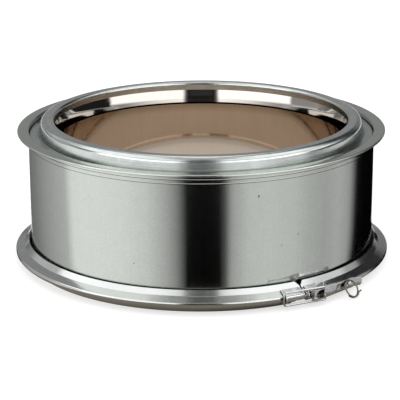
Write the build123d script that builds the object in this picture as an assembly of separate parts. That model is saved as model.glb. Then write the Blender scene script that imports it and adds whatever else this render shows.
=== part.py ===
# Short straight length of insulated twin-wall flue pipe, with its locking band closed round the lower end.
# Millimetres. +Z runs up the flue, the origin is the centre of the foot that the band stands on.
# Azimuths are degrees from the front (-Y) towards +X. The latch is set out along the band's crest, from the slit.

import os
from math import atan, atan2, cos, degrees, radians, sin, sqrt, tan

from build123d import *

# Flue and casing
flue_radius = 150.0
liner_wall = 0.6
wall_to_wall = 30.0
shell_wall = 0.6
lip_width = 11.4
lip_to_lip = 131.0
shell_bend = 1.4
hem_radius = 0.9
hem_tightness = 0.98
hem_return = 1.6

# Beads rolled into the shell over the top ring's skirt, measured down from the top lip
bead_drops = (7.6, 11.7)
bead_height = 0.15
bead_half_width = 0.45
bead_bend = 0.4

# Top ring, the male end that stands up inside the lip
ring_wall = 0.6
ring_rise = 10.8
ring_step = 3.0
ring_foot_inset = 10.4
ring_top_inset = 13.4
ring_crown_radius = 6.2
ring_foot_bend = 1.2
ring_skirt_bend = 1.0
groove_depth = 5.0
top_skirt = 8.6
mouth_skirt = 8.6

# Liner ends
mouth_depth = 12.8
mouth_collar = 2.0
mouth_bend = 1.2
flare_bend = 3.0
spigot_step = 1.6
spigot_swage = 2.0
spigot_bend = 0.8
spigot_end_drop = 1.7
spigot_length = 4.0

# Bottom ring, which closes the female end
socket_depth = 14.4
socket_bend = 1.5
bottom_skirt = 11.0
bottom_collar = 7.0

# Locking band: its crest and knee are set out from the lips that it grips, its flanks from the shell
band_wall = 1.0
band_crest_room = 5.2
band_crest_half = 1.75
band_crest_bend = 1.5
band_knee_overlap = 4.3
band_knee_half = 5.5
band_knee_bend = 2.0
band_flank_room = 2.6
band_half_height = 11.0
band_gap_azimuth = 31.0
band_gap = 1.8
band_upper_notch = (3.6, 3.6)
band_lower_notch = (8.5, 7.0)

# Latch saddles, with their runs along the crest to either side of the slit
plate_wall = 1.2
saddle_start = 2.75
hook_rivet_run = 11.7
bar_run = 26.1
hook_lug_height = 7.0
hook_lug_reach = 4.6
hook_lug_corner = 2.1
pivot_run = 7.1
ears_end_run = 17.2
ear_half_width = 3.4
tongue_run = 27.1
tongue_radius = 3.7
rivet_radius = 1.3
rivet_head_radius = 2.1
rivet_head = 0.7
rivet_head_round = 0.42
rivet_tail = 0.25

# Lever and bail
latch_rise = 1.0
lever_standoff = 3.6
lever_pivot_to_foot = 46.3
lever_pivot_depth = 3.2
lever_wall = 1.0
lever_height = 10.4
lever_web_start = 11.0
lever_web_end = 54.0
lever_flange_depth = 4.0
lever_taper_end = 22.0
lever_slot_start = 35.5
lever_slot_length = 5.5
lever_slot_height = 5.6
tab_length = 11.0
tab_height = 9.0
tab_flare = 18.0
tab_corner = 3.0
pin_radius = 1.6
bail_radius = 1.0
bail_pivot = 10.6
bail_overcentre = 1.0
bail_bend = 2.6
bail_tip_bend = 1.3
bail_tip = 2.2

# Ring that hangs on the lever's stud
stud_along = 45.0
stud_rise = 1.5
stud_radius = 1.5
stud_neck = 3.0
stud_head_radius = 2.6
stud_head = 1.8
stud_head_round = 1.26
wire_radius = 0.8
pull_radius = 8.5
pull_lean = 32.0
pull_overlap = 105.0
pull_turn_gap = 0.2
pull_tail = 3.6

# Clearances
seat_gap = 0.3
fit_gap = 0.1
running_gap = 0.06
strand_gap = 0.4
bar_gap = 0.9
wool_gap = 1.0
cut_margin = 5.0


def at_azimuth(radius, azimuth, height=0.0):
    turn = radians(azimuth)
    return Vector(radius * sin(turn), -radius * cos(turn), height)


def along_band(run):
    """Azimuth of a point on the band's crest, at a run from the slit."""
    return band_gap_azimuth + degrees(run / band_crest_radius)


def shelf_half(radius):
    """Half height of the band's centre line over its shelf, at a radius."""
    return band_knee_half - (radius - band_knee_radius) * shelf_slope


# Radii that follow from the flue outwards
shell_radius = flue_radius + wall_to_wall
lip_radius = shell_radius + lip_width
skirt_radius = shell_radius - shell_wall - fit_gap - ring_wall / 2
ring_inner = flue_radius + ring_step
ring_foot = shell_radius - ring_foot_inset
ring_outer_top = shell_radius - ring_top_inset
mouth_radius = ring_inner + ring_wall + fit_gap
band_crest_radius = lip_radius + band_crest_room
band_knee_radius = lip_radius - band_knee_overlap
band_flank_radius = shell_radius + band_flank_room
plate_outset = band_wall / 2 + fit_gap / 2 + plate_wall / 2
bar_radius = band_crest_radius + fit_gap + plate_wall + bar_gap + bail_radius

# Heights that follow from the foot upwards
band_mid = band_half_height
shelf_slope = (band_knee_half - band_crest_half) / (band_crest_radius - band_wall / 2 - band_knee_radius)
shelf_cosine = 1 / sqrt(1 + shelf_slope**2)
bottom_lip = band_mid - shelf_half(lip_radius) + band_wall / 2 / shelf_cosine + seat_gap
top_lip = bottom_lip + lip_to_lip
groove_floor = top_lip - groove_depth
ring_top = top_lip + ring_rise
mouth_low = ring_top - mouth_skirt
socket_face = bottom_lip + socket_depth
latch_mid = band_mid + latch_rise
ear_top = lever_height / 2 - lever_wall - 2 * fit_gap
strand_height = lever_height / 2 + strand_gap + bail_radius

# Frame of the lever: X along it, Y in towards the band, Z up, with the pivot at its origin
pivot_line = band_crest_radius + lever_standoff - lever_pivot_depth
pivot_radius = sqrt(pivot_line**2 + lever_pivot_to_foot**2)
pivot_azimuth = along_band(pivot_run)
lever_azimuth = pivot_azimuth + degrees(atan(lever_pivot_to_foot / pivot_line))
pivot = at_azimuth(pivot_radius, pivot_azimuth, latch_mid)
lever_plane = Plane(origin=pivot, x_dir=at_azimuth(1, lever_azimuth + 90), z_dir=(0, 0, 1))
lever_place = Location(lever_plane)
bracket_place = Location(Plane(origin=pivot, x_dir=at_azimuth(1, pivot_azimuth + 90), z_dir=(0, 0, 1)))
bar_azimuth = along_band(-bar_run)
bar_point = lever_plane.to_local_coords(at_azimuth(bar_radius, bar_azimuth, latch_mid))
bail_pin_y = bail_overcentre + bail_pivot * tan(atan2(bar_point.Y, bar_point.X))
hook_start = bar_azimuth + degrees((bail_radius + strand_gap) / bar_radius)
stud_place = Pos(stud_along, lever_wall - lever_pivot_depth, stud_rise) * Rot(90, 0, 0)
pull_hang = stud_rise + stud_radius + wire_radius + fit_gap
pull_place = Pos(stud_along, -lever_pivot_depth - stud_neck / 2, pull_hang) * Rot(90 - pull_lean, 0, 0)


def sheet(points, bends, wall):
    """Section of a sheet of even wall along a bent centre line of (radius, height) points."""
    path = FilletPolyline(*points, radius=bends)
    return Plane.XZ * trace(path, line_width=wall)


def spun(section, start, end):
    """Revolve a section between two azimuths."""
    return Rot(0, 0, start - 90) * revolve(section, Axis.Z, end - start)


def shelf_place(azimuth, upper):
    """Frame on the saddles' shelf, Z pointing out of it, at the middle of the shelf."""
    middle = (band_knee_radius + band_crest_radius) / 2
    half = shelf_half(middle) + plate_outset / shelf_cosine
    side = 1 if upper else -1
    point = at_azimuth(middle, azimuth, band_mid + side * half)
    normal = at_azimuth(shelf_slope, azimuth, side)
    return Location(Plane(origin=point, x_dir=at_azimuth(1, azimuth + 90), z_dir=normal))


rivet_places = [
    shelf_place(along_band(run), upper)
    for run in (-hook_rivet_run, tongue_run)
    for upper in (True, False)
]


def rivet_holes():
    return [place * Cylinder(rivet_radius + running_gap, 4 * plate_wall) for place in rivet_places]


def make_outer_shell():
    wall_line = shell_radius - shell_wall / 2
    lip_line = lip_radius - shell_wall / 2
    high = top_lip - shell_wall / 2
    low = bottom_lip + shell_wall / 2
    hem = 2 * hem_radius
    hem_bend = hem_radius * hem_tightness
    hem_end = lip_line - hem - hem_return
    points = [(hem_end, high - hem), (lip_line, high - hem), (lip_line, high), (wall_line, high)]
    bends = [hem_bend, hem_bend, shell_bend]
    for drop in bead_drops:
        centre = top_lip - drop
        points += [
            (wall_line, centre + bead_half_width),
            (wall_line + bead_height, centre),
            (wall_line, centre - bead_half_width),
        ]
        bends += 3 * [bead_bend]
    points += [(wall_line, low), (lip_line, low), (lip_line, low + hem), (hem_end, low + hem)]
    bends += [shell_bend, hem_bend, hem_bend]
    return revolve(sheet(points, bends, shell_wall), Axis.Z)


def make_top_ring():
    half = ring_wall / 2
    points = [
        (skirt_radius, groove_floor - top_skirt),
        (skirt_radius, groove_floor - half),
        (ring_foot - half, groove_floor - half),
        (ring_outer_top - half, ring_top - half),
        (ring_inner + half, ring_top - half),
        (ring_inner + half, mouth_low),
    ]
    bends = [ring_skirt_bend, ring_foot_bend, ring_crown_radius, ring_crown_radius]
    return revolve(sheet(points, bends, ring_wall), Axis.Z)


def make_inner_liner():
    half = liner_wall / 2
    spigot_low = bottom_lip - spigot_end_drop
    spigot_high = spigot_low + spigot_length
    points = [
        (flue_radius - spigot_step + half, spigot_low),
        (flue_radius - spigot_step + half, spigot_high),
        (flue_radius + half, spigot_high + spigot_swage),
        (flue_radius + half, top_lip - mouth_depth),
        (mouth_radius + half, mouth_low - fit_gap),
        (mouth_radius + half, mouth_low + mouth_collar),
    ]
    return revolve(sheet(points, [spigot_bend, spigot_bend, flare_bend, mouth_bend], liner_wall), Axis.Z)


def make_bottom_ring():
    half = ring_wall / 2
    collar = flue_radius + liner_wall + fit_gap + half
    points = [
        (skirt_radius, socket_face + bottom_skirt),
        (skirt_radius, socket_face + half),
        (collar, socket_face + half),
        (collar, socket_face + bottom_collar),
    ]
    return revolve(sheet(points, [socket_bend, socket_bend], ring_wall), Axis.Z)


def make_insulation():
    """Mineral wool packed between the two walls and under the top ring's crown."""
    inner = flue_radius + liner_wall + fit_gap + ring_wall + seat_gap
    outer = skirt_radius - ring_wall / 2 - wool_gap
    mouth = mouth_radius + liner_wall + seat_gap
    floor = socket_face + ring_wall + wool_gap
    shoulder = groove_floor - ring_wall - seat_gap
    crown = ring_top - ring_wall - ring_crown_radius / 2
    points = [
        (inner, floor),
        (outer, floor),
        (outer, shoulder),
        (ring_foot - ring_wall - wool_gap, shoulder),
        (ring_outer_top - ring_wall - wool_gap, crown),
        (mouth + wool_gap, crown),
        (mouth, mouth_low),
        (inner, top_lip - mouth_depth - wool_gap),
    ]
    return revolve(Plane.XZ * make_face(Polyline(*points, close=True)), Axis.Z)


def band_line(outset=0.0, flanks=True):
    """Centre line of the band's V section, set out from it by a distance, with or without its flanks."""
    lift = outset / shelf_cosine
    crest = band_crest_radius - band_wall / 2 + outset
    crest_bend = band_crest_bend + outset
    if flanks:
        lip = (band_flank_radius - band_wall, band_half_height + band_wall)
        upper = [lip, (band_knee_radius, band_knee_half + lift), (crest, shelf_half(crest) + lift)]
        bends = [band_knee_bend, crest_bend, crest_bend, band_knee_bend]
    else:
        edge = band_knee_radius + band_wall
        upper = [(edge, shelf_half(edge) + lift), (crest, shelf_half(crest) + lift)]
        bends = [crest_bend, crest_bend]
    lower = [(r, -half) for r, half in reversed(upper)]
    return [(r, band_mid + half) for r, half in upper + lower], bends


def make_clamp_band():
    points, bends = band_line()
    band = revolve(sheet(points, bends, band_wall), Axis.Z)
    reach = band_crest_radius + cut_margin
    band &= Pos(0, 0, band_mid) * Cylinder(reach, 2 * band_half_height)
    half = band_gap / 2
    cuts = [Pos(0, band_mid) * Rectangle(band_gap, 3 * band_half_height)]
    for (across, drop), edge, down in ((band_upper_notch, 2 * band_mid, 1), (band_lower_notch, 0, -1)):
        inner = edge - down * drop
        notch = [(-half - across, edge), (half + across, edge), (half, inner), (-half, inner)]
        cuts.append(make_face(Polyline(*notch, close=True)))
    for outline in cuts:
        band -= Rot(0, 0, band_gap_azimuth) * extrude(Plane.XZ * outline, reach)
    for hole in rivet_holes():
        band -= hole
    return band


def make_latch_rivets():
    """Four rivets through the saddles and the band, heads outside and a clenched end inside."""
    grip = plate_wall + fit_gap + band_wall + 2 * running_gap
    top = plate_wall / 2 + running_gap
    head = Pos(0, 0, top + rivet_head / 2) * Cylinder(rivet_head_radius, rivet_head)
    rivet = fillet(head.edges().group_by(Axis.Z)[-1], rivet_head_round)
    rivet += Pos(0, 0, top - grip / 2) * Cylinder(rivet_radius, grip)
    rivet += Pos(0, 0, top - grip - rivet_tail / 2) * Cylinder(rivet_head_radius, rivet_tail)
    return Compound([place * rivet for place in rivet_places])


def hat_plate(start, end):
    points, bends = band_line(plate_outset, flanks=False)
    return spun(sheet(points, bends, plate_wall), start, end)


def hat_core():
    """Everything inside the saddles' outer skin, to trim what stands on it."""
    points, _ = band_line(plate_outset, flanks=False)
    outline = Polyline((flue_radius, points[0][1]), *points, (flue_radius, points[-1][1]), close=True)
    return revolve(Plane.XZ * make_face(outline), Axis.Z)


def make_hook_plate():
    """Saddle on the free end of the band, with the lug that the bail pulls on."""
    plate = hat_plate(hook_start, along_band(-saddle_start))
    foot = band_crest_radius - band_wall
    reach = band_crest_radius + fit_gap + plate_wall + hook_lug_reach
    lug = Pos(plate_wall / 2, -(foot + reach) / 2, latch_mid) * Box(plate_wall, reach - foot, hook_lug_height)
    lug = fillet(lug.edges().filter_by(Axis.X).group_by(Axis.Y)[0], hook_lug_corner)
    plate += Rot(0, 0, hook_start) * lug - hat_core()
    for hole in rivet_holes():
        plate -= hole
    return plate


def make_latch_bracket():
    """Saddle on the other end of the band, with two ears for the lever's pin and a riveted tongue on each shelf."""
    plate = hat_plate(along_band(saddle_start), along_band(ears_end_run))
    strip = hat_plate(along_band(ears_end_run - plate_wall), along_band(tongue_run + 2 * tongue_radius))
    run = tongue_run - ears_end_run + plate_wall
    depth = 3 * plate_wall
    tongue = Cylinder(tongue_radius, depth) + Pos(-run / 2, 0, 0) * Box(run, 2 * tongue_radius, depth)
    for upper in (True, False):
        plate += strip & (shelf_place(along_band(tongue_run), upper) * tongue)
    length = pivot_radius - band_knee_radius
    outline = Circle(ear_half_width) + Pos(0, length / 2) * Rectangle(2 * ear_half_width, length)
    for side in (1, -1):
        ear = Pos(0, 0, side * (ear_top - plate_wall / 2)) * extrude(outline, plate_wall / 2, both=True)
        plate += bracket_place * ear - hat_core()
    plate -= lever_place * Cylinder(pin_radius + running_gap, 2 * lever_height)
    for hole in rivet_holes():
        plate -= hole
    return plate


def make_lever():
    """Channel pressed from sheet, forked at the pivot, with a slot and a thumb tab at the free end."""
    outer = -lever_pivot_depth
    flange_edge = outer + lever_flange_depth
    inside = lever_height - 2 * lever_wall
    edge = [
        (0, lever_pivot_depth),
        (lever_taper_end, flange_edge),
        (lever_web_end - lever_flange_depth, flange_edge),
        (lever_web_end, outer + lever_wall),
        (lever_web_end, outer),
        (0, outer),
    ]
    round_end = ThreePointArc((0, outer), (outer, 0), (0, lever_pivot_depth))
    lever = extrude(make_face(Polyline(*edge) + round_end), lever_height / 2, both=True)
    deep = 4 * lever_pivot_depth
    lever -= Pos(0, outer + lever_wall + deep / 2, 0) * Box(4 * lever_web_end, deep, inside)
    lever -= Pos(lever_web_start - lever_web_end / 2, 0, 0) * Box(lever_web_end, deep, inside)
    slot = Box(lever_slot_length, 4 * lever_wall, lever_slot_height)
    lever -= Pos(lever_slot_start + lever_slot_length / 2, outer, 0) * slot
    tab = Pos(tab_length / 2, lever_wall / 2, 0) * Box(tab_length, lever_wall, tab_height)
    tab = fillet(tab.edges().filter_by(Axis.Y).group_by(Axis.X)[-1], tab_corner)
    lever += Pos(lever_web_end - lever_wall / 2, outer, 0) * Rot(0, 0, -tab_flare) * tab
    lever -= Cylinder(pin_radius + running_gap, 2 * lever_height)
    lever -= Pos(bail_pivot, bail_pin_y, 0) * Cylinder(bail_radius + running_gap, 2 * lever_height)
    lever -= stud_place * Cylinder(stud_radius + running_gap, 4 * lever_wall)
    return lever_place * lever


def make_lever_pin():
    return lever_place * Cylinder(pin_radius, lever_height + 2 * fit_gap)


def make_bail():
    """Wire loop from the lever's flanges round the hook's lug."""
    inside = lever_height / 2 - lever_wall - bail_tip
    near = (bail_pivot, bail_pin_y)
    far = (bar_point.X, bar_point.Y)
    points = [(*near, -inside), (*near, -strand_height), (*far, -strand_height)]
    points += [(x, y, -z) for x, y, z in reversed(points)]
    path = FilletPolyline(*points, radius=[bail_tip_bend, bail_bend, bail_bend, bail_tip_bend])
    section = Plane(origin=path @ 0, z_dir=path % 0) * Circle(bail_radius)
    return lever_place * sweep(section, path)


def make_ring_stud():
    """Headed stud riveted through the lever's web."""
    length = lever_wall + stud_neck
    stud = Pos(0, 0, length / 2) * Cylinder(stud_radius, length)
    stud += Pos(0, 0, -rivet_head / 2) * Cylinder(rivet_head_radius, rivet_head)
    head = Pos(0, 0, length + stud_head / 2) * Cylinder(stud_head_radius, stud_head)
    stud += fillet(head.edges().group_by(Axis.Z)[-1], stud_head_round)
    return lever_place * stud_place * stud


def make_pull_ring():
    """Wire ring of one turn and an overlap, with its free end turned out, hung on the stud's neck."""
    pitch = 2 * wire_radius + pull_turn_gap
    turn = 360 + pull_overlap
    first = 270 - pull_overlap / 2
    to_top = 450 - first
    path = Helix(pitch, pitch * turn / 360, pull_radius)
    section = Plane(origin=path @ 0, z_dir=path % 0) * Circle(wire_radius)
    wire = sweep(section, path, is_frenet=True)
    end = path @ 1
    out = Plane(origin=end, z_dir=Vector(end.X, end.Y, 0).normalized() + path % 1)
    wire += Location(out) * Pos(0, 0, pull_tail / 2) * Cylinder(wire_radius, pull_tail)
    wire += Pos(end) * Sphere(wire_radius)
    wire = Pos(0, -pull_radius, -pitch * to_top / 360) * Rot(0, 0, first) * wire
    return lever_place * pull_place * wire


nodes = {
    "inner_liner": make_inner_liner,
    "outer_shell": make_outer_shell,
    "top_ring": make_top_ring,
    "bottom_ring": make_bottom_ring,
    "insulation": make_insulation,
    "clamp_band": make_clamp_band,
    "hook_plate": make_hook_plate,
    "latch_bracket": make_latch_bracket,
    "latch_rivets": make_latch_rivets,
    "lever": make_lever,
    "lever_pin": make_lever_pin,
    "bail": make_bail,
    "ring_stud": make_ring_stud,
    "pull_ring": make_pull_ring,
}

os.makedirs("parts", exist_ok=True)
for name, make in nodes.items():
    export_step(make(), f"parts/{name}.step")
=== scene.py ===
import math
import bmesh
import bpy
from mathutils import Matrix, Vector


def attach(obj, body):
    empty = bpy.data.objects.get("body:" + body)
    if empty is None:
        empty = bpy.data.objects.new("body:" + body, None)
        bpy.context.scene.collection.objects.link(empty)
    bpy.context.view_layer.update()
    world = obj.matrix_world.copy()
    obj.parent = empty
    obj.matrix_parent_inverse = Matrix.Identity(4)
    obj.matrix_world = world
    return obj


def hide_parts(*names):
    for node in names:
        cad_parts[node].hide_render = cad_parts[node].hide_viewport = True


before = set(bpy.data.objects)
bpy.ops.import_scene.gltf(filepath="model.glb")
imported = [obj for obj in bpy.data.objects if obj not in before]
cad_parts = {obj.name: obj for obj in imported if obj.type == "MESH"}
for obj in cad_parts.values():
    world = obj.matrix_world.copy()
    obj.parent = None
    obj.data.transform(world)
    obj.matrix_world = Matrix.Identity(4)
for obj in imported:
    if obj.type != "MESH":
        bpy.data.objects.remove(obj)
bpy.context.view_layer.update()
scene = bpy.context.scene
scene.view_settings.view_transform = "Standard"
mm = 0.001


# small helpers for node trees: a socket or a number goes in, a socket comes out
def link(tree, value, socket):
    if isinstance(value, bpy.types.NodeSocket):
        tree.links.new(value, socket)
    else:
        socket.default_value = value


def calc(tree, operation, *values):
    node = tree.nodes.new("ShaderNodeMath")
    node.operation = operation
    for value, socket in zip(values, node.inputs):
        link(tree, value, socket)
    return node.outputs[0]


def remap(tree, value, fromLow, fromHigh, toLow, toHigh, smooth=False):
    node = tree.nodes.new("ShaderNodeMapRange")
    if smooth:
        node.interpolation_type = "SMOOTHSTEP"
    for given, socket in zip((value, fromLow, fromHigh, toLow, toHigh), node.inputs):
        link(tree, given, socket)
    return node.outputs[0]


def combine(tree, x, y, z):
    node = tree.nodes.new("ShaderNodeCombineXYZ")
    for value, socket in zip((x, y, z), node.inputs):
        link(tree, value, socket)
    return node.outputs[0]


def split(tree, vector):
    node = tree.nodes.new("ShaderNodeSeparateXYZ")
    link(tree, vector, node.inputs[0])
    return node.outputs


def blendColour(tree, factor, first, second):
    node = tree.nodes.new("ShaderNodeMix")
    node.data_type = "RGBA"
    link(tree, factor, node.inputs["Factor"])
    for value, socket in ((first, node.inputs[6]), (second, node.inputs[7])):
        link(tree, value if isinstance(value, bpy.types.NodeSocket) else (*value, 1), socket)
    return node.outputs[2]


# sum of named patterns, each times its own weight
def weigh(tree, weights, **patterns):
    total = 0.0
    for name, pattern in patterns.items():
        total = calc(tree, "MULTIPLY_ADD", pattern, weights[name], total)
    return total


# stretches two or three coordinates, each by its own scale, so that a noise over them draws lines
def stretch(tree, scales, *values):
    parts = [calc(tree, "MULTIPLY", value, scale) for value, scale in zip(values, scales)]
    return combine(tree, *parts, *[0.0] * (3 - len(parts)))


def noise(tree, vector, scale, detail=2.0, rough=0.5):
    node = tree.nodes.new("ShaderNodeTexNoise")
    link(tree, vector, node.inputs["Vector"])
    node.inputs["Scale"].default_value = scale
    node.inputs["Detail"].default_value = detail
    node.inputs["Roughness"].default_value = rough
    return node.outputs["Fac"]


# one random grey for each cell of zinc spangle
def spangles(tree, vector, scale):
    node = tree.nodes.new("ShaderNodeTexVoronoi")
    link(tree, vector, node.inputs["Vector"])
    node.inputs["Scale"].default_value = scale
    return split(tree, node.outputs["Color"])[0]


def bump(tree, height, depth):
    node = tree.nodes.new("ShaderNodeBump")
    node.inputs["Strength"].default_value = 1.0
    node.inputs["Distance"].default_value = depth * mm
    link(tree, height, node.inputs["Height"])
    return node.outputs[0]


# how open a point is, for the painted shade where surfaces come close together: 0 deep in a
# crevice, 1 in the open
def openness(tree, reach, dark, clear):
    node = tree.nodes.new("ShaderNodeAmbientOcclusion")
    node.samples = 8
    node.inputs["Distance"].default_value = reach * mm
    return remap(tree, node.outputs["AO"], dark, clear, 0.0, 1.0, True)


def newMaterial(name):
    material = bpy.data.materials.new(name)
    material.use_nodes = True
    shader = material.node_tree.nodes["Principled BSDF"]
    return material, material.node_tree, shader


# the end that every metal has: its colour, roughness that follows a pattern, and fine relief
def finishMetal(tree, shader, look, colour, pattern, height):
    link(tree, colour, shader.inputs["Base Color"])
    rough = remap(tree, pattern, *look["roughRange"], *look["roughness"])
    link(tree, rough, shader.inputs["Roughness"])
    shader.inputs["Metallic"].default_value = 1.0
    link(tree, bump(tree, height, look["reliefDepth"]), shader.inputs["Normal"])


# reach of the painted crevice shade in millimetres, and the openness at which it is full and gone
creviceShade = {
    "seam": (8.0, 0.24, 0.76),
    "groove": (12.0, 0.15, 0.80),
    "latch": (9.0, 0.25, 0.55),
    "colour": (0.012, 0.012, 0.013),
    "growth": (-0.15, 0.06),  # arc in metres over which it builds up, from the left to the latch
}


# painted shade: darkens a colour towards near black in crevices
def creviceShaded(tree, colour, size, strength=1.0):
    closed = calc(tree, "SUBTRACT", 1.0, openness(tree, *creviceShade[size]))
    return blendColour(tree, calc(tree, "MULTIPLY", closed, strength), colour, creviceShade["colour"])


# the same painted shade, with one strength on the left of the pipe and another beside the latch
def creviceShadedRound(tree, colour, look, arc):
    strength = remap(tree, arc, *creviceShade["growth"], *look["spread"])
    return creviceShaded(tree, colour, look["shadeKind"], strength)


# mixes the worn colour and the clean one by a tone
def wornColour(tree, look, tone):
    clean = remap(tree, tone, *look["toneRange"], 0.0, 1.0)
    return blendColour(tree, clean, look["worn"], look["colour"])


# coordinates that run round the pipe (arc length), out from its axis and up it, in metres
def roundPipe(tree, radius):
    coordinate = tree.nodes.new("ShaderNodeTexCoord").outputs["Object"]
    x, y, z = split(tree, coordinate)
    azimuth = calc(tree, "ARCTAN2", x, calc(tree, "MULTIPLY", y, -1.0))
    square = calc(tree, "ADD", calc(tree, "MULTIPLY", x, x), calc(tree, "MULTIPLY", y, y))
    return coordinate, calc(tree, "MULTIPLY", azimuth, radius * mm), calc(tree, "SQRT", square), z


# in the looks, lengths are in millimetres and scales of a pattern are per metre
casingLook = {
    "radius": 180.0,
    "colour": (0.68, 0.71, 0.67),
    "worn": (0.63, 0.66, 0.62),
    "streaks": (900.0, 9.0),  # brushing, per metre round and up the pipe
    "spangleScale": 95.0,
    "cloudScale": 14.0,
    "grainScale": 620.0,
    "grainDepth": 0.3,
    "weights": {"streak": 0.75, "spangle": 0.16, "cloud": 0.3, "grain": 1.0},
    "toneRange": (0.38, 0.85),
    "roughness": (0.10, 0.15),
    "roughRange": (0.3, 0.7),
    "relief": {"streak": 0.06, "cloud": 1.0},
    "reliefDepth": 0.12,
    "speckAndShadowColour": (0.12, 0.12, 0.11),
    "speckScale": 170.0,
    "speckRange": (0.79, 0.82),
    "speckStrength": 0.8,
    "beadShadowLines": (131.0, 126.9),  # heights of the painted shadow lines under the beads
    "beadShadowEdge": (0.2, 0.5),
    "beadShadowStrength": 0.75,
    # painted crevice shade at the seams, weaker on the left of the pipe
    "shadeKind": "seam",
    "spread": (0.1, 1.0),
}


# galvanised sheet with faint brushing up the pipe, soft zinc spangle, a few dark specks, painted
# shadow lines under the beads and painted shade in the seams
def galvanisedCasing():
    look = casingLook
    material, tree, shader = newMaterial("galvanisedCasing")
    coordinate, arc, out, z = roundPipe(tree, look["radius"])
    streak = noise(tree, stretch(tree, look["streaks"], arc, z), 1.0, detail=4.0, rough=0.62)
    flat = combine(tree, arc, z, out)
    spangle = spangles(tree, flat, look["spangleScale"])
    cloud = noise(tree, coordinate, look["cloudScale"], detail=3.0)
    grain = noise(tree, flat, look["grainScale"], rough=0.7)
    grain = remap(tree, grain, 0.3, 0.7, -look["grainDepth"], look["grainDepth"])
    tone = weigh(tree, look["weights"], streak=streak, spangle=spangle, cloud=cloud, grain=grain)
    colour = wornColour(tree, look, tone)
    speck = noise(tree, flat, look["speckScale"], detail=1.0)
    speck = remap(tree, speck, *look["speckRange"], 0.0, look["speckStrength"])
    colour = blendColour(tree, speck, colour, look["speckAndShadowColour"])
    # painted shadow lines just under the two beads, in the specks' dark colour
    full, gone = (edge * mm for edge in look["beadShadowEdge"])
    for height in look["beadShadowLines"]:
        line = calc(tree, "ABSOLUTE", calc(tree, "SUBTRACT", z, height * mm))
        line = remap(tree, line, full, gone, look["beadShadowStrength"], 0.0, True)
        colour = blendColour(tree, line, colour, look["speckAndShadowColour"])
    # painted shade in the seams
    colour = creviceShadedRound(tree, colour, look, arc)
    relief = weigh(tree, look["relief"], streak=streak, cloud=cloud)
    finishMetal(tree, shader, look, colour, streak, relief)
    return material


# what the top ring, the bottom ring and the band share, and what each has of its own
rolledPattern = {
    "radius": 180.0,
    "lines": (14.0, 900.0, 900.0),  # rolling lines, per metre round, out and up
    "spangleScale": 130.0,
    "cloudScale": 32.0,
    "weights": {"line": 0.6, "spangle": 0.14, "cloud": 0.45},
    "toneRange": (0.38, 0.82),
    "roughRange": (0.4, 0.8),
    "relief": {"line": 0.35, "cloud": 1.0},
}
# each kind has its colours, and the kind and spread of its painted crevice shade
rolledLook = {
    "ring": {
        "colour": (0.74, 0.775, 0.755), "worn": (0.58, 0.62, 0.605), "roughness": (0.17, 0.25),
        "reliefDepth": 0.012, "shadeKind": "groove", "spread": (1.0, 1.0),
    },
    "band": {
        "colour": (0.74, 0.755, 0.75), "worn": (0.66, 0.675, 0.67), "roughness": (0.10, 0.18),
        "reliefDepth": 0.02, "shadeKind": "seam", "spread": (0.1, 0.9),
    },
}


# galvanised strip that was rolled round: lines follow the ring, with zinc spangle over them and
# painted shade in its crevices
def galvanisedRolled(name, kind):
    look = {**rolledPattern, **rolledLook[kind]}
    material, tree, shader = newMaterial(name)
    coordinate, arc, out, z = roundPipe(tree, look["radius"])
    line = noise(tree, stretch(tree, look["lines"], arc, out, z), 1.0, detail=3.0, rough=0.6)
    spangle = spangles(tree, coordinate, look["spangleScale"])
    cloud = noise(tree, coordinate, look["cloudScale"], detail=4.0, rough=0.6)
    tone = weigh(tree, look["weights"], line=line, spangle=spangle, cloud=cloud)
    # painted shade in the crevices
    colour = creviceShadedRound(tree, wornColour(tree, look, tone), look, arc)
    relief = weigh(tree, look["relief"], line=line, cloud=cloud)
    finishMetal(tree, shader, look, colour, tone, relief)
    return material


linerLook = {
    "radius": 150.0,
    "colour": (0.60, 0.505, 0.415),
    "worn": (0.55, 0.455, 0.37),
    "streaks": (260.0, 12.0),
    "cloudScale": 9.0,
    "weights": {"streak": 0.6, "cloud": 0.5},
    "toneRange": (0.35, 0.75),
    "roughness": (0.03, 0.06),
    "roughRange": (0.3, 0.7),
    "relief": {"streak": 0.05, "cloud": 1.0},
    "reliefDepth": 0.1,
    "mouthColour": (0.51, 0.475, 0.445),
    "mouthEdge": 0.5,
    "creaseHeight": 126.8,  # the painted dark reflection line where the flare starts
    "creaseEdge": (0.7, 1.3),
    "creaseReflectionColour": (0.008, 0.006, 0.005),
    "shadeColour": (0.36, 0.29, 0.22),
    "shadeDepth": 12.0,
    "shadeStrength": 0.9,
}


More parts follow.
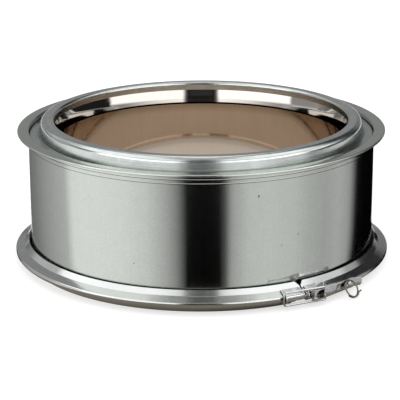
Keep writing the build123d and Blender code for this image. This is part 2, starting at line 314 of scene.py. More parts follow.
# bright stainless with a warm tint, faint rolling lines, a cooler flared mouth, painted shade down
# the bore below the flare and a painted dark reflection line at the crease
def linerStainless():
    look = linerLook
    material, tree, shader = newMaterial("linerStainless")
    coordinate, arc, _, z = roundPipe(tree, look["radius"])
    streak = noise(tree, stretch(tree, look["streaks"], arc, z), 1.0, detail=4.0, rough=0.6)
    cloud = noise(tree, coordinate, look["cloudScale"], detail=3.0)
    colour = wornColour(tree, look, weigh(tree, look["weights"], streak=streak, cloud=cloud))
    below = calc(tree, "SUBTRACT", look["creaseHeight"] * mm, z)
    edge = look["mouthEdge"] * mm
    inBore = remap(tree, below, -edge, edge, 0.0, 1.0)
    colour = blendColour(tree, inBore, look["mouthColour"], colour)
    fade = remap(tree, below, 0.0, look["shadeDepth"] * mm, look["shadeStrength"], 0.0, True)
    colour = blendColour(tree, calc(tree, "MULTIPLY", inBore, fade), colour, look["shadeColour"])
    # a painted dark reflection line along the crease at the foot of the flare
    full, gone = (edge * mm for edge in look["creaseEdge"])
    darkReflection = remap(tree, calc(tree, "ABSOLUTE", below), full, gone, 1.0, 0.0, True)
    colour = blendColour(tree, darkReflection, colour, look["creaseReflectionColour"])
    relief = weigh(tree, look["relief"], streak=streak, cloud=cloud)
    finishMetal(tree, shader, look, colour, streak, relief)
    return material


latchLook = {
    "colour": (0.74, 0.745, 0.77),
    "worn": (0.62, 0.625, 0.65),
    "cloudScale": 260.0,
    "grainScale": 2200.0,
    "weights": {"cloud": 0.8, "grain": 0.2},
    "toneRange": (0.36, 0.56),
    "roughness": (0.24, 0.14),  # from the dull patches to the bright ones
    "roughRange": (0.35, 0.65),
    "reliefDepth": 0.03,
}


# zinc plated pressing: bright, with small cloudy patches, fine scratches and painted shade in its
# crevices
def latchSteel():
    look = latchLook
    material, tree, shader = newMaterial("latchSteel")
    coordinate = tree.nodes.new("ShaderNodeTexCoord").outputs["Object"]
    cloud = noise(tree, coordinate, look["cloudScale"], detail=4.0, rough=0.6)
    grain = noise(tree, coordinate, look["grainScale"])
    tone = weigh(tree, look["weights"], cloud=cloud, grain=grain)
    finishMetal(tree, shader, look, creviceShaded(tree, wornColour(tree, look, tone), "latch"), tone, tone)
    return material


wirePattern = {
    "markScale": 700.0,
    "toneRange": (0.35, 0.6),
    "roughRange": (0.3, 0.7),
    "reliefDepth": 0.04,
}
wireLook = {
    "bail": {"colour": (0.80, 0.79, 0.77), "worn": (0.62, 0.60, 0.58), "roughness": (0.10, 0.20)},
    "ring": {"colour": (0.34, 0.30, 0.26), "worn": (0.15, 0.13, 0.11), "roughness": (0.16, 0.30)},
}


# drawn spring wire, darker in its draw marks, with painted shade in its crevices
def wireSteel(name, kind):
    look = {**wirePattern, **wireLook[kind]}
    material, tree, shader = newMaterial(name)
    coordinate = tree.nodes.new("ShaderNodeTexCoord").outputs["Object"]
    mark = noise(tree, coordinate, look["markScale"], detail=3.0, rough=0.6)
    finishMetal(tree, shader, look, creviceShaded(tree, wornColour(tree, look, mark), "latch"), mark, mark)
    return material


woolLook = {
    "radius": 165.0,
    "colour": (0.62, 0.56, 0.40),
    "worn": (0.40, 0.34, 0.22),  # painted shade deep between the fibres
    "fibres": (90.0, 700.0, 1.0),
    "toneRange": (0.3, 0.7),
    "roughness": 0.95,
    "reliefDepth": 0.8,
}


# matted mineral fibre
def mineralWool():
    look = woolLook
    material, tree, shader = newMaterial("mineralWool")
    _, arc, out, z = roundPipe(tree, look["radius"])
    fibre = noise(tree, stretch(tree, look["fibres"], arc, z, out), 1.0, detail=5.0, rough=0.7)
    link(tree, wornColour(tree, look, fibre), shader.inputs["Base Color"])
    shader.inputs["Roughness"].default_value = look["roughness"]
    link(tree, bump(tree, fibre, look["reliefDepth"]), shader.inputs["Normal"])
    return material


finish = {
    "galvanised_casing": galvanisedCasing(),
    "galvanised_ring": galvanisedRolled("galvanisedRing", "ring"),
    "galvanised_band": galvanisedRolled("galvanisedBand", "band"),
    "liner_stainless": linerStainless(),
    "latch_steel": latchSteel(),
    "wire_steel": wireSteel("bailWire", "bail"),
    "mineral_wool": mineralWool(),
}
ringWire = wireSteel("ringWire", "ring")
print("finishes made:", len(finish) + 1)


# an empty tree with its named inputs; closeTree gives it its end
def openTree(name, inputs, output):
    tree = bpy.data.node_groups.new(name, "GeometryNodeTree")
    for label, kind in inputs.items():
        tree.interface.new_socket(label, in_out="INPUT", socket_type="NodeSocket" + kind)
    tree.interface.new_socket(output, in_out="OUTPUT", socket_type="NodeSocketGeometry")
    return tree, tree.nodes.new("NodeGroupInput").outputs


# every tree ends the same way: instances made real, smooth faces, its finish
def closeTree(tree, mesh, finishSocket):
    real = tree.nodes.new("GeometryNodeRealizeInstances")
    smooth = tree.nodes.new("GeometryNodeSetShadeSmooth")
    paint = tree.nodes.new("GeometryNodeSetMaterial")
    tree.links.new(mesh, real.inputs[0])
    tree.links.new(real.outputs[0], smooth.inputs["Geometry"])
    tree.links.new(smooth.outputs[0], paint.inputs["Geometry"])
    tree.links.new(finishSocket, paint.inputs["Material"])
    tree.links.new(paint.outputs[0], tree.nodes.new("NodeGroupOutput").inputs[0])
    return tree


# geometry nodes: a section of (radius, height) points spun round the pipe
def spunSheetTree():
    inputs = {
        "Section": "Geometry",
        "Segments": "Int",
        "Start": "Float",
        "Sweep": "Float",
        "Finish": "Material",
    }
    tree, given = openTree("spunSheet", inputs, "Sheet")
    count = tree.nodes.new("GeometryNodeAttributeDomainSize")
    tree.links.new(given["Section"], count.inputs["Geometry"])
    points = count.outputs["Point Count"]
    rows = calc(tree, "ADD", points, 1.0)
    grid = tree.nodes.new("GeometryNodeMeshGrid")
    tree.links.new(calc(tree, "ADD", given["Segments"], 1.0), grid.inputs["Vertices X"])
    tree.links.new(rows, grid.inputs["Vertices Y"])
    index = tree.nodes.new("GeometryNodeInputIndex").outputs[0]
    column = calc(tree, "FLOOR", calc(tree, "DIVIDE", calc(tree, "ADD", index, 0.5), rows))
    row = calc(tree, "SUBTRACT", index, calc(tree, "MULTIPLY", column, rows))
    sample = tree.nodes.new("GeometryNodeSampleIndex")
    sample.data_type = "FLOAT_VECTOR"
    tree.links.new(given["Section"], sample.inputs["Geometry"])
    tree.links.new(tree.nodes.new("GeometryNodeInputPosition").outputs[0], sample.inputs["Value"])
    tree.links.new(calc(tree, "FLOORED_MODULO", row, points), sample.inputs["Index"])
    radius, _, height = split(tree, sample.outputs["Value"])
    turn = calc(tree, "DIVIDE", calc(tree, "MULTIPLY", given["Sweep"], column), given["Segments"])
    turn = calc(tree, "ADD", turn, given["Start"])
    place = combine(
        tree,
        calc(tree, "MULTIPLY", radius, calc(tree, "SINE", turn)),
        calc(tree, "MULTIPLY", calc(tree, "MULTIPLY", radius, calc(tree, "COSINE", turn)), -1.0),
        height,
    )
    move = tree.nodes.new("GeometryNodeSetPosition")
    tree.links.new(grid.outputs["Mesh"], move.inputs["Geometry"])
    tree.links.new(place, move.inputs["Position"])
    weld = tree.nodes.new("GeometryNodeMergeByDistance")
    weld.inputs["Distance"].default_value = 1e-6
    tree.links.new(move.outputs[0], weld.inputs["Geometry"])
    return closeTree(tree, weld.outputs[0], given["Finish"])


# geometry nodes: round wire along a line of points, each corner bent to its own radius
def bentWireTree():
    inputs = {"Line": "Geometry", "Wire radius": "Float", "Sides": "Int", "Finish": "Material"}
    tree, given = openTree("bentWire", inputs, "Wire")
    curve = tree.nodes.new("GeometryNodeMeshToCurve")
    tree.links.new(given["Line"], curve.inputs["Mesh"])
    bend = tree.nodes.new("GeometryNodeInputNamedAttribute")
    bend.data_type = "FLOAT"
    bend.inputs["Name"].default_value = "bend"
    corner = tree.nodes.new("GeometryNodeFilletCurve")
    corner.mode = "POLY"
    corner.inputs["Count"].default_value = 10
    corner.inputs["Limit Radius"].default_value = True
    tree.links.new(curve.outputs[0], corner.inputs["Curve"])
    tree.links.new(bend.outputs[0], corner.inputs["Radius"])
    section = tree.nodes.new("GeometryNodeCurvePrimitiveCircle")
    tree.links.new(given["Sides"], section.inputs["Resolution"])
    tree.links.new(given["Wire radius"], section.inputs["Radius"])
    sweep = tree.nodes.new("GeometryNodeCurveToMesh")
    sweep.inputs["Fill Caps"].default_value = True
    tree.links.new(corner.outputs[0], sweep.inputs["Curve"])
    tree.links.new(section.outputs[0], sweep.inputs["Profile Curve"])
    return closeTree(tree, sweep.outputs[0], given["Finish"])


# runs a piece's modifiers and keeps the plain mesh
def applyModifiers(piece):
    evaluated = piece.evaluated_get(bpy.context.evaluated_depsgraph_get())
    mesh = bpy.data.meshes.new_from_object(evaluated)
    piece.modifiers.clear()
    piece.data = mesh
    return mesh


# lays out the points, runs the tree on them and keeps the plain mesh
def growPiece(name, tree, points, values, closed=False, bends=None):
    seed = bpy.data.meshes.new(name + "Line")
    edges = [(i, i + 1) for i in range(len(points) - 1)]
    if closed:
        edges.append((len(points) - 1, 0))
    seed.from_pydata(points, edges, [])
    if bends:
        seed.attributes.new("bend", "FLOAT", "POINT").data.foreach_set("value", bends)
    piece = bpy.data.objects.new(name, seed)
    scene.collection.objects.link(piece)
    grow = piece.modifiers.new("grow", "NODES")
    grow.node_group = tree
    sockets = {s.name: s.identifier for s in tree.interface.items_tree if s.in_out == "INPUT"}
    for label, value in values.items():
        grow[sockets[label]] = value
    applyModifiers(piece).name = name
    bpy.data.meshes.remove(seed)
    return piece


# angles in degrees above which an edge stays crisp
sharpAngles = {"sheet": 38.0, "wire": 45.0, "pressing": 34.0, "brokenEdge": 50.0}


# outward normals, smooth faces and crisp edges
def dressMesh(piece, kind):
    work = bmesh.new()
    work.from_mesh(piece.data)
    bmesh.ops.remove_doubles(work, verts=work.verts, dist=1e-7)
    bmesh.ops.recalc_face_normals(work, faces=work.faces)
    for item in work.faces:
        item.smooth = True
    work.to_mesh(piece.data)
    work.free()
    piece.data.set_sharp_from_angle(angle=math.radians(sharpAngles[kind]))


def settle(piece, body, node):
    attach(piece, body)
    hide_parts(node)
    return piece


spunSheet = spunSheetTree()
bentWire = bentWireTree()


# outline of a sheet of even wall along a bent centre line, in millimetres
def bentSheet(points, bends, wall, step=9.0, support=0.35):
    half = wall / 2
    left, right = [], []

    def put(place, normal):
        left.append(place + normal * half)
        right.append(place - normal * half)

    corners = [Vector(p) for p in points]
    last = corners[0]
    for i in range(1, len(corners)):
        ahead = (corners[i] - corners[i - 1]).normalized()
        side = Vector((-ahead.y, ahead.x))
        end = corners[i]
        turn = 0.0
        if i < len(corners) - 1:
            after = (corners[i + 1] - corners[i]).normalized()
            turn = math.atan2(ahead.x * after.y - ahead.y * after.x, ahead.dot(after))
            end = corners[i] - ahead * bends[i - 1] * math.tan(abs(turn) / 2)
        put(last, side)
        # points beside each bend keep the flat between two bends flat
        if (end - last).length > 4 * support:
            put(last + ahead * support, side)
            put(end - ahead * support, side)
        if i == len(corners) - 1:
            put(end, side)
            break
        centre = end + side * math.copysign(bends[i - 1], turn)
        steps = max(3, math.ceil(abs(math.degrees(turn)) / step))
        for k in range(steps):
            spin = Matrix.Rotation(turn * k / steps, 2)
            put(centre + spin @ (end - centre), spin @ side)
        last = centre + Matrix.Rotation(turn, 2) @ (end - centre)
    return left + right[::-1]


def spinPiece(name, slotName, outline, segments=360, start=0.0, sweep=360.0):
    points = [(r * mm, 0.0, z * mm) for r, z in outline]
    values = {
        "Segments": segments,
        "Start": math.radians(start),
        "Sweep": math.radians(sweep),
        "Finish": finish[slotName],
    }
    piece = growPiece(name, spunSheet, points, values, closed=True)
    dressMesh(piece, "sheet")
    return piece


# sizes in millimetres that the pieces of the pipe share
pipeSizes = {
    "flueRadius": 150.0,
    "shellRadius": 180.0,
    "lipRadius": 191.4,
    "wall": 0.6,
    "bottomLip": 8.1333,
    "topLip": 139.1333,
    "skirtRadius": 179.0,
    "mouthLow": 141.3333,
}

casingSizes = {
    "hemRadius": 0.9,
    "hemFit": 0.98,  # share of the hem's radius that each of its two bends takes
    "hemTail": 1.6,
    "lipBend": 1.4,
    "beadDrops": (7.6, 11.7),
    "beadHeight": 0.06,
    "beadHalf": 0.45,
    "beadBend": 0.4,
    "segments": 400,
}


def casingOutline():
    p, s = pipeSizes, casingSizes
    half = p["wall"] / 2
    wallLine, lipLine = p["shellRadius"] - half, p["lipRadius"] - half
    high, low, hem = p["topLip"] - half, p["bottomLip"] + half, 2 * s["hemRadius"]
    hemBend, hemEnd = s["hemRadius"] * s["hemFit"], lipLine - hem - s["hemTail"]
    points = [(hemEnd, high - hem), (lipLine, high - hem), (lipLine, high), (wallLine, high)]
    bends = [hemBend, hemBend, s["lipBend"]]
    for drop in s["beadDrops"]:
        centre = p["topLip"] - drop
        for rise, out in ((s["beadHalf"], 0.0), (0.0, s["beadHeight"]), (-s["beadHalf"], 0.0)):
            points.append((wallLine + out, centre + rise))
            bends.append(s["beadBend"])
    points += [(wallLine, low), (lipLine, low), (lipLine, low + hem), (hemEnd, low + hem)]
    return bentSheet(points, bends + [s["lipBend"], hemBend, hemBend], p["wall"])


topRingSizes = {
    "skirtDrop": 8.6,
    "grooveFloor": 134.1333,
    "footRadius": 169.6,
    "crownRadius": 166.6,
    "boreRadius": 153.0,
    "top": 149.9333,
    "bends": (1.0, 1.2, 6.2, 2.8),  # skirt, foot, outer and inner side of the crown
    "bendStep": 5.0,
}


def topRingOutline():
    p, s = pipeSizes, topRingSizes
    half = p["wall"] / 2
    points = [
        (p["skirtRadius"], s["grooveFloor"] - s["skirtDrop"]),
        (p["skirtRadius"], s["grooveFloor"] - half),
        (s["footRadius"] - half, s["grooveFloor"] - half),
        (s["crownRadius"] - half, s["top"] - half),
        (s["boreRadius"] + half, s["top"] - half),
        (s["boreRadius"] + half, p["mouthLow"]),
    ]
    return bentSheet(points, s["bends"], p["wall"], step=s["bendStep"])


linerSizes = {
    "spigotDrop": 1.7,
    "spigotInset": 1.6,
    "spigotLength": 4.0,
    "spigotTaper": 2.0,
    "flareDrop": 12.8,
    "flareBow": (1.45, 5.35),  # out from the bore and down from the lip, where the flare bows
    "mouthRadius": 153.7,
    "mouthEase": 0.1,
    "collar": 2.0,
    "bends": (0.8, 0.8, 3.0, 45.0, 1.2),  # two at the spigot, three up the flare
    "bendStep": 4.0,
}


def linerOutline():
    p, s = pipeSizes, linerSizes
    half = p["wall"] / 2
    bore, mouth = p["flueRadius"] + half, s["mouthRadius"] + half
    spigotLow = p["bottomLip"] - s["spigotDrop"]
    spigotTop = spigotLow + s["spigotLength"]
    bowOut, bowDrop = s["flareBow"]
    points = [
        (bore - s["spigotInset"], spigotLow),
        (bore - s["spigotInset"], spigotTop),
        (bore, spigotTop + s["spigotTaper"]),
        (bore, p["topLip"] - s["flareDrop"]),
        (bore + bowOut, p["topLip"] - bowDrop),
        (mouth, p["mouthLow"] - s["mouthEase"]),
        (mouth, p["mouthLow"] + s["collar"]),
    ]
    return bentSheet(points, s["bends"], p["wall"], step=s["bendStep"])


bottomRingSizes = {
    "socketFace": 22.5333,
    "skirtRise": 11.0,
    "collarRise": 7.0,
    "collarGap": 0.1,
    "bend": 1.5,
    "segments": 240,
}


def bottomRingOutline():
    p, s = pipeSizes, bottomRingSizes
    half = p["wall"] / 2
    collar = p["flueRadius"] + p["wall"] + s["collarGap"] + half
    points = [
        (p["skirtRadius"], s["socketFace"] + s["skirtRise"]),
        (p["skirtRadius"], s["socketFace"] + half),
        (collar, s["socketFace"] + half),
        (collar, s["socketFace"] + s["collarRise"]),
    ]
    return bentSheet(points, 2 * [s["bend"]], p["wall"])


casing = spinPiece("casing", "galvanised_casing", casingOutline(), casingSizes["segments"])
settle(casing, "pipe", "outer_shell")
topRing = spinPiece("topRing", "galvanised_ring", topRingOutline())
settle(topRing, "pipe", "top_ring")
liner = spinPiece("liner", "liner_stainless", linerOutline())
settle(liner, "pipe", "inner_liner")
bottomRing = spinPiece(
    "bottomRing", "galvanised_ring", bottomRingOutline(), bottomRingSizes["segments"]
)
settle(bottomRing, "pipe", "bottom_ring")
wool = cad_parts["insulation"]
wool.data.materials.clear()
wool.data.materials.append(finish["mineral_wool"])
print("pipe spun:", [len(p.data.polygons) for p in (casing, topRing, liner, bottomRing)])


bandSizes = {
    "wall": 1.0,
    "mid": 11.0,
    "crest": 196.1,
    "crestHalf": 1.75,
    "crestBend": 1.5,
    "knee": 187.1,
    "kneeHalf": 5.5,
    "kneeBend": 2.0,
    "flank": 181.6,
    "flankHalf": 12.0,
    "bendStep": 7.0,
    "segments": 420,
    "gapAzimuth": 31.0,
    "gap": 1.8,
    "upperNotch": (3.6, 3.6),
    "lowerNotch": (8.5, 7.0),
    "cutReach": (150.0, 210.0),  # radii between which the notches are cut
}


def bandOutline():
    s = bandSizes
    # the lips end at the foot and the top of the band, along the flank
    lean = (s["knee"] - s["flank"]) / (s["flankHalf"] - s["kneeHalf"])
    tip = s["mid"] - s["wall"] / 2 * math.sin(math.atan(lean))
    lip = (s["knee"] - (tip - s["kneeHalf"]) * lean, tip)
    upper = [lip, (s["knee"], s["kneeHalf"]), (s["crest"], s["crestHalf"])]
    lower = [(r, -half) for r, half in reversed(upper)]
    points = [(r, s["mid"] + half) for r, half in upper + lower]
    bends = [s["kneeBend"], s["crestBend"], s["crestBend"], s["kneeBend"]]
    return bentSheet(points, bends, s["wall"], step=s["bendStep"])


# a wedge that cuts the lip back beside the slit, and runs on past the lip by one millimetre
def notchCutter(size, edge, down):
    s = bandSizes
    across, drop = size
    half = s["gap"] / 2
    wide = half + across + across / drop
    top, bottom = edge + down, edge - down * drop
    outline = [(-wide, top), (wide, top), (half, bottom), (-half, bottom)]
    turn = math.radians(s["gapAzimuth"])
    out = Vector((math.sin(turn), -math.cos(turn), 0.0))
    along = Vector((math.cos(turn), math.sin(turn), 0.0))
    work = bmesh.new()
    rings = []
    for reach in s["cutReach"]:
        places = [out * reach + along * x + Vector((0, 0, z)) for x, z in outline]
        rings.append([work.verts.new(place * mm) for place in places])
    inner, outer = rings
    work.faces.new(inner)
    work.faces.new(outer[::-1])
    for i in range(4):
        work.faces.new((inner[i], outer[i], outer[(i + 1) % 4], inner[(i + 1) % 4]))
    bmesh.ops.recalc_face_normals(work, faces=work.faces)
    mesh = bpy.data.meshes.new("notch")
    work.to_mesh(mesh)
    work.free()
    cutter = bpy.data.objects.new("notch", mesh)
    scene.collection.objects.link(cutter)
    return cutter


def makeBand():
    s = bandSizes
    slit = math.degrees(s["gap"] / s["crest"])
    start, sweep = s["gapAzimuth"] + slit / 2, 360.0 - slit
    band = spinPiece("band", "galvanised_band", bandOutline(), s["segments"], start, sweep)
    # the two ends at the slit are closed before the notches are cut
    work = bmesh.new()
    work.from_mesh(band.data)
    bmesh.ops.holes_fill(work, edges=[e for e in work.edges if e.is_boundary], sides=0)
    bmesh.ops.triangulate(work, faces=[f for f in work.faces if len(f.verts) > 4])
    work.to_mesh(band.data)
    work.free()
    for size, edge, down in ((s["upperNotch"], 2 * s["mid"], 1), (s["lowerNotch"], 0.0, -1)):
        cutter = notchCutter(size, edge, down)
        cut = band.modifiers.new("notch", "BOOLEAN")
        cut.operation = "DIFFERENCE"
        cut.object = cutter
        applyModifiers(band)
        bpy.data.objects.remove(cutter)
    band.data.name = "band"
    band.data.materials.clear()
    band.data.materials.append(finish["galvanised_band"])
    band.data.polygons.foreach_set("material_index", [0] * len(band.data.polygons))
    dressMesh(band, "sheet")
    return settle(band, "pipe", "clamp_band")


band = makeBand()
print("band rolled:", len(band.data.polygons), "faces")


latchSizes = {"bevel": 0.16, "bevelSegments": 2, "bevelAngle": 40.0, "flatAngle": 0.6}


# a pressing or a turned piece of the latch, from its CAD solid, with its edges broken
def pressing(name, node, body, bevel):
    s = latchSizes
    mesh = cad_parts[node].data.copy()
    mesh.name = name
    piece = bpy.data.objects.new(name, mesh)
    scene.collection.objects.link(piece)
    work = bmesh.new()
    work.from_mesh(mesh)
    bmesh.ops.remove_doubles(work, verts=work.verts, dist=2e-6)
    flat = math.radians(s["flatAngle"])
    bmesh.ops.dissolve_limit(work, angle_limit=flat, verts=work.verts, edges=work.edges)
    for item in work.faces:
        item.smooth = True
    work.to_mesh(mesh)
    work.free()
    mesh.materials.clear()
    mesh.materials.append(finish["latch_steel"])
    mesh.set_sharp_from_angle(angle=math.radians(sharpAngles["pressing"]))
    if bevel:
        edge = piece.modifiers.new("edge", "BEVEL")
        edge.width = s["bevel"] * bevel * mm
        edge.segments = s["bevelSegments"]
        edge.limit_method = "ANGLE"
        edge.angle_limit = math.radians(s["bevelAngle"])
        smooth = applyModifiers(piece)
        smooth.name = name
        smooth.set_sharp_from_angle(angle=math.radians(sharpAngles["brokenEdge"]))
    return settle(piece, body, node)


# name, CAD node, body, and the share of the full bevel that its edges get
latchPieces = (
    ("hookPlate", "hook_plate", "pipe", 1.0),
    ("latchBracket", "latch_bracket", "pipe", 1.0),
    ("lever", "lever", "lever", 1.0),
    ("latchRivets", "latch_rivets", "pipe", 0.0),
    ("leverPin", "lever_pin", "pipe", 0.8),
    ("ringStud", "ring_stud", "lever", 0.0),
)
pressings = [pressing(*row) for row in latchPieces]
print("latch pressed:", [len(p.data.polygons) for p in pressings])


# place of the lever's pin and direction of the closed lever
leverPlace = {"pivot": (110.4221, -169.5868, 12.0), "along": (0.690944, 0.722908, 0.0)}


# frame of the lever: X along it, Y in towards the band
def leverFrame():
    along = Vector(leverPlace["along"])
    inward = Vector((0, 0, 1)).cross(along)
    turn = Matrix((along, inward, (0, 0, 1))).transposed().to_4x4()
    return Matrix.Translation(Vector(leverPlace["pivot"])) @ turn


bailSizes = {
    "wireRadius": 1.0,
    "near": (10.6, -3.3642),
    "far": (-31.4518, 12.9492),
    "inside": 2.0,
    "strand": 6.6,
    "tipBend": 1.3,
    "barBend": 2.6,
    "sides": 20,
}


def makeBail():
    s = bailSizes
    near, far = s["near"], s["far"]
    half = [(*near, -s["inside"]), (*near, -s["strand"]), (*far, -s["strand"])]
    points = half + [(x, y, -z) for x, y, z in reversed(half)]
    bends = [0.0, s["tipBend"], s["barBend"], s["barBend"], s["tipBend"], 0.0]
    place = leverFrame()
    line = [tuple((place @ Vector(p)) * mm) for p in points]
    values = {
        "Wire radius": s["wireRadius"] * mm,
        "Sides": s["sides"],
        "Finish": finish["wire_steel"],
    }
    bail = growPiece("bail", bentWire, line, values, bends=[b * mm for b in bends])
    dressMesh(bail, "wire")
    return settle(bail, "bail", "bail")


pullRingSizes = {
    "wireRadius": 0.8,
    "radius": 8.5,
    "hang": (45.0, -4.7, 3.9),
    "lean": 32.0,
    "overlap": 105.0,
    "pitch": 1.8,
    "tail": 3.6,
    "tailBend": 0.8,
    "stepAngle": 5,
    "sides": 18,
}


# a wire coil of a little over one turn, with its last end bent out
def makePullRing():
    s = pullRingSizes
    radius, turnAll = s["radius"], 360 + s["overlap"]
    first = 270 - s["overlap"] / 2
    hung = (360 + 90 - first) / 360  # the turn of the coil that rests on the stud
    place = leverFrame() @ Matrix.Translation(Vector(s["hang"]))
    place = place @ Matrix.Rotation(math.radians(90 - s["lean"]), 4, "X")
    place = place @ Matrix.Translation(Vector((0, -radius, -s["pitch"] * hung)))
    place = place @ Matrix.Rotation(math.radians(first), 4, "Z")
    points = []
    for k in range(0, int(turnAll) + 1, s["stepAngle"]):
        a = math.radians(k)
        points.append(Vector((radius * math.cos(a), radius * math.sin(a), s["pitch"] * k / 360)))
    a = math.radians(turnAll)
    out = Vector((math.cos(a), math.sin(a), 0)) + Vector((-math.sin(a), math.cos(a), 0))
    points.append(points[-1] + out.normalized() * s["tail"])
    line = [tuple((place @ p) * mm) for p in points]
    bends = [0.0] * len(points)
    bends[-2] = s["tailBend"] * mm
    values = {"Wire radius": s["wireRadius"] * mm, "Sides": s["sides"], "Finish": ringWire}
    ring = growPiece("pullRing", bentWire, line, values, bends=bends)
    dressMesh(ring, "wire")
    return settle(ring, "ring", "pull_ring")


bail = makeBail()
pullRing = makePullRing()
print("wires bent:", len(bail.data.polygons), len(pullRing.data.polygons))


# lengths of the stage are in metres
stageLook = {
    "floorSize": 9.0,
    "floorDrop": 0.0002,
    "floorColour": (0.60, 0.60, 0.60),
    "floorLift": 0.62,
    "floorGlow": 0.45,
    "skyLight": 1.0,
    # cards on the floor, seen only in the metal: azimuth on the shell, and brightness there
    "nearCards": [
        (-86, 0.14), (-74, 0.24), (-60, 0.45), (-51.5, 0.56), (-48, 0.95), (-38, 0.97), (-26, 0.91),
        (-18, 0.77), (-12, 0.52), (-8.4, 0.31), (-5, 0.0), (6.0, 0.0), (7.8, 0.09), (9.8, 0.46),
        (15.5, 0.68), (22, 0.72), (32, 0.66), (38, 0.54), (45, 0.47), (52, 0.53), (58, 0.43),
        (61, 0.16), (63, 0.0), (86, 0.0),
    ],
    "farCards": [
        (-86, 0.16), (-60, 0.48), (-51.5, 0.64), (-47, 1.16), (-38, 1.14), (-24, 0.84), (-12, 0.48),
        (-6, 0.08), (6, 0.08), (12, 0.5), (22, 0.73), (34, 0.66), (45, 0.52), (58, 0.47), (62, 0.3),
        (64, 0.0), (86, 0.0),
    ],
    "cardStart": 0.198,
    "cardStep": 0.5,
    "cardBlend": (0.59, 0.67),  # where the near cards end and the far ones begin
    "cardReach": 1.6,
    # painted floor shade round the band, seen only in the metal
    "shadeApron": {
        "inner": 0.176,
        "reach": 0.058,
        "height": 0.0001,
        "steps": 72,
        "colour": (0.22, 0.195, 0.16),
        "darkSides": [(80, 140, 0.232), (220, 280, 0.212)],  # azimuth from and to, outer radius
    },
    # softboxes and flags above the floor: azimuth from and to, elevation from and to, brightness
    "panels": [
        (-142, -14, 40, 80, 1.3),
        (14, 124, 40, 80, 1.35),
        (-114, -60, 28, 44, 1.4),
        (-142, -112, 12, 42, 0.55),
        (-64, -14, 24, 42, 0.8),
        (14, 80, 24, 42, 0.8),
        (-82, -14, 7, 26, 2.2),
        (14, 82, 7, 26, 2.1),
        (76, 112, 16, 42, 0.78),
        (112, 124, 16, 42, 0.4),
        (86, 108, 18, 27, 1.6),
        (-125, -78, 6, 17, 0.45),
        (-112, -78, 19, 26, 0.04),
        (-92, -54, -8, 4, 0.95),
        (-54, -28, -8, 4, 0.55),
        (28, 54, -8, 4, 0.45),
        (54, 76, -8, 4, 0.48),
        (-185, -92, -8, 4, 0.12),
        (-108, -80, -8, 6, 1.1),
        (-12, 12, 6, 46, 0.02),
        (-9, 9, 17, 21, 0.06),
        (-12, 12, -8, 4, 0.1),
        (-60, 60, 61, 77, 0.7),
        (-42, 42, 61, 77, 0.42),
        (-16, 16, 44, 69, 0.13),
        (79, 124, -8, 15, 0.02),
        (124, 163, -8, 46, 0.02),
        (148, 172, 0, 19, 0.2),
        (-185, -162, 42, 78, 1.2),
        (164, 185, 42, 78, 1.2),
        (-185, 185, 76, 100, 0.55),
    ],
    "panelEdge": (2.0, 3.0),  # half width of a panel's soft edge, in azimuth and elevation
    "wallTone": 0.27,
}


# a mesh that belongs to the stage and not to the part
def stageMesh(name, points, faces, tones=None):
    mesh = bpy.data.meshes.new(name)
    mesh.from_pydata(points, [], faces)
    if tones:
        mesh.attributes.new("tone", "FLOAT", "POINT").data.foreach_set("value", tones)
    item = bpy.data.objects.new(name, mesh)
    scene.collection.objects.link(item)
    return item


# an empty material for a stage mesh, which is no lamp for the sampler
def stageMaterial(item, name):
    material = bpy.data.materials.new(name)
    material.use_nodes = True
    material.cycles.emission_sampling = "NONE"
    item.data.materials.append(material)
    tree = material.node_tree
    tree.nodes.clear()
    return tree, tree.nodes.new("ShaderNodeOutputMaterial").inputs["Surface"]


# matt pale floor, lifted to white for the camera and showing a paler self in metal
def makeFloor():
    s = stageLook
    half, low = s["floorSize"], -s["floorDrop"]
    corners = [(-half, -half, low), (half, -half, low), (half, half, low), (-half, half, low)]
    floor = stageMesh("floor", corners, [(0, 1, 2, 3)])
    tree, surface = stageMaterial(floor, "paleFloor")
    matt = tree.nodes.new("ShaderNodeBsdfDiffuse")
    matt.inputs["Color"].default_value = (*s["floorColour"], 1)
    lift = tree.nodes.new("ShaderNodeEmission")
    path = tree.nodes.new("ShaderNodeLightPath").outputs
    inMetal = calc(tree, "MULTIPLY", path["Is Glossy Ray"], s["floorGlow"])
    level = calc(tree, "MULTIPLY_ADD", path["Is Camera Ray"], s["floorLift"], inMetal)
    link(tree, level, lift.inputs["Strength"])
    both = tree.nodes.new("ShaderNodeAddShader")
    tree.links.new(matt.outputs[0], both.inputs[0])
    tree.links.new(lift.outputs[0], both.inputs[1])
    tree.links.new(both.outputs[0], surface)


# a card gives its own tone and is seen by the metal alone
def showInMetal(card, name, colour):
    tree, surface = stageMaterial(card, name)
    tone = tree.nodes.new("ShaderNodeAttribute")
    tone.attribute_name = "tone"
    glow = tree.nodes.new("ShaderNodeEmission")
    glow.inputs["Color"].default_value = (*colour, 1)
    tree.links.new(tone.outputs["Fac"], glow.inputs["Strength"])
    tree.links.new(glow.outputs[0], surface)
    card.visible_camera = False
    card.visible_diffuse = False
    card.visible_shadow = False
    card.visible_transmission = False


def toneAt(stops, azimuth):
    later = next(i for i in range(1, len(stops)) if stops[i][0] >= azimuth)
    (a0, t0), (a1, t1) = stops[later - 1], stops[later]
    return t0 + (t1 - t0) * (azimuth - a0) / (a1 - a0)


# faces between neighbouring rows of points, each row with the same count
def fanFaces(start, rows, count):
    corners = ((row, k) for row in range(rows - 1) for k in range(count - 1))
    firsts = (start + row * count + k for row, k in corners)
    return [(i, i + 1, i + count + 1, i + count) for i in firsts]


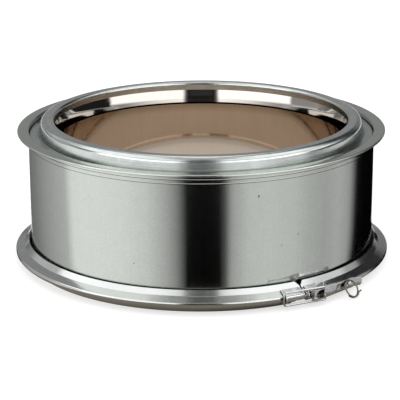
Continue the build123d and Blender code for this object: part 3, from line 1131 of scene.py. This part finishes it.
# grey and black cards fanned out on the floor, which the bright casing mirrors as upright bands
def makeCards():
    s = stageLook
    points, tones = [], []
    first, last = s["nearCards"][0][0], s["nearCards"][-1][0]
    rows = int((last - first) / s["cardStep"]) + 1
    nearEnd, farStart = s["cardBlend"]
    for i in range(rows):
        azimuth = first + i * s["cardStep"]
        near, far = toneAt(s["nearCards"], azimuth), toneAt(s["farCards"], azimuth)
        turn, away = math.radians(azimuth), math.radians(2 * azimuth)
        start = Vector((math.sin(turn), -math.cos(turn), 0)) * s["cardStart"]
        out = Vector((math.sin(away), -math.cos(away), 0))
        spans = ((0.0, near), (nearEnd, near), (farStart, far), (s["cardReach"], far))
        points += [tuple(start + out * reach) for reach, _ in spans]
        tones += [tone for _, tone in spans]
    cards = stageMesh("cards", points, fanFaces(0, rows, 4), tones)
    showInMetal(cards, "studioCard", (1, 1, 1))


# a sheet of painted floor shade close round the band, seen only in the metal: warm dark where the
# floor lies in the band's shadow, black beside its two ends
def makeShadeApron():
    s = stageLook["shadeApron"]
    shell = pipeSizes["shellRadius"] * mm
    points, tones, faces = [], [], []

    def spread(first, last, tone, outer):
        rows = s["steps"] + 1
        faces.extend(fanFaces(len(points), rows, 2))
        for i in range(rows):
            turn = math.radians(first + (last - first) * i / s["steps"])
            for radius in (s["inner"], outer(turn)):
                points.append((radius * math.sin(turn), -radius * math.cos(turn), s["height"]))
                tones.append(tone)

    def frontReach(turn):
        forward, sideways = max(0.0, math.cos(turn)), math.sin(turn)
        return math.hypot(shell + s["reach"] * forward, s["reach"] * sideways)

    (rightFrom, rightTo, rightOuter), (leftFrom, leftTo, leftOuter) = s["darkSides"]
    spread(rightFrom, rightTo, 0.0, lambda turn: rightOuter)
    spread(rightTo, leftFrom, 1.0, frontReach)
    spread(leftFrom, leftTo, 0.0, lambda turn: leftOuter)
    spread(leftTo, rightFrom + 360, 1.0, frontReach)
    shadeApron = stageMesh("shadeApron", points, faces, tones)
    showInMetal(shadeApron, "floorShadeCard", s["colour"])


# 1 between two angles and 0 outside them, with a soft edge
def between(tree, angle, low, high, edge):
    rise = remap(tree, angle, low - edge, low + edge, 0.0, 1.0, True)
    fall = remap(tree, angle, high - edge, high + edge, 1.0, 0.0, True)
    return calc(tree, "MULTIPLY", rise, fall)


# white room for the camera and matt surfaces; metal also sees the softboxes and flags
def makeWorld():
    s = stageLook
    world = bpy.data.worlds.new("studio")
    scene.world = world
    world.use_nodes = True
    tree = world.node_tree
    back = tree.nodes["Background"]
    x, y, z = split(tree, tree.nodes.new("ShaderNodeTexCoord").outputs["Generated"])
    azimuth = calc(tree, "DEGREES", calc(tree, "ARCTAN2", x, calc(tree, "MULTIPLY", y, -1.0)))
    height = calc(tree, "DEGREES", calc(tree, "ARCSINE", z))
    sideEdge, topEdge = s["panelEdge"]
    tone = s["wallTone"]
    for fromAzimuth, toAzimuth, fromHeight, toHeight, level in s["panels"]:
        across = between(tree, azimuth, fromAzimuth, toAzimuth, sideEdge)
        upright = between(tree, height, fromHeight, toHeight, topEdge)
        inside = calc(tree, "MULTIPLY", across, upright)
        tone = calc(tree, "MULTIPLY_ADD", inside, calc(tree, "SUBTRACT", level, tone), tone)
    inMetal = tree.nodes.new("ShaderNodeLightPath").outputs["Is Glossy Ray"]
    dimming = calc(tree, "MULTIPLY", inMetal, calc(tree, "SUBTRACT", s["skyLight"], tone))
    link(tree, calc(tree, "SUBTRACT", s["skyLight"], dimming), back.inputs["Strength"])
    back.inputs["Color"].default_value = (1, 1, 1, 1)


cameraView = {
    "place": (0.0, -1.7332, 0.5830),
    "pitch": 16.875,
    "yaw": -0.049,
    "roll": -0.22,
    "lens": 153.9,
    "sensor": 36.0,
    "farClip": 50.0,
}


def makeCamera():
    s = cameraView
    pitch, yaw, roll = (math.radians(s[k]) for k in ("pitch", "yaw", "roll"))
    level = Vector((math.sin(yaw), math.cos(yaw), 0))
    ahead = level * math.cos(pitch) + Vector((0, 0, -math.sin(pitch)))
    right = Vector((math.cos(yaw), -math.sin(yaw), 0))
    up = right.cross(ahead)
    c, n = math.cos(roll), math.sin(roll)
    right, up = right * c + up * n, up * c - right * n
    turn = Matrix((right, up, -ahead)).transposed().to_4x4()
    data = bpy.data.cameras.new("view")
    data.lens = s["lens"]
    data.sensor_width = s["sensor"]
    data.clip_end = s["farClip"]
    camera = bpy.data.objects.new("view", data)
    camera.matrix_world = Matrix.Translation(Vector(s["place"])) @ turn
    scene.collection.objects.link(camera)
    scene.camera = camera


makeFloor()
makeCards()
makeShadeApron()
makeWorld()
makeCamera()
print("stage set")
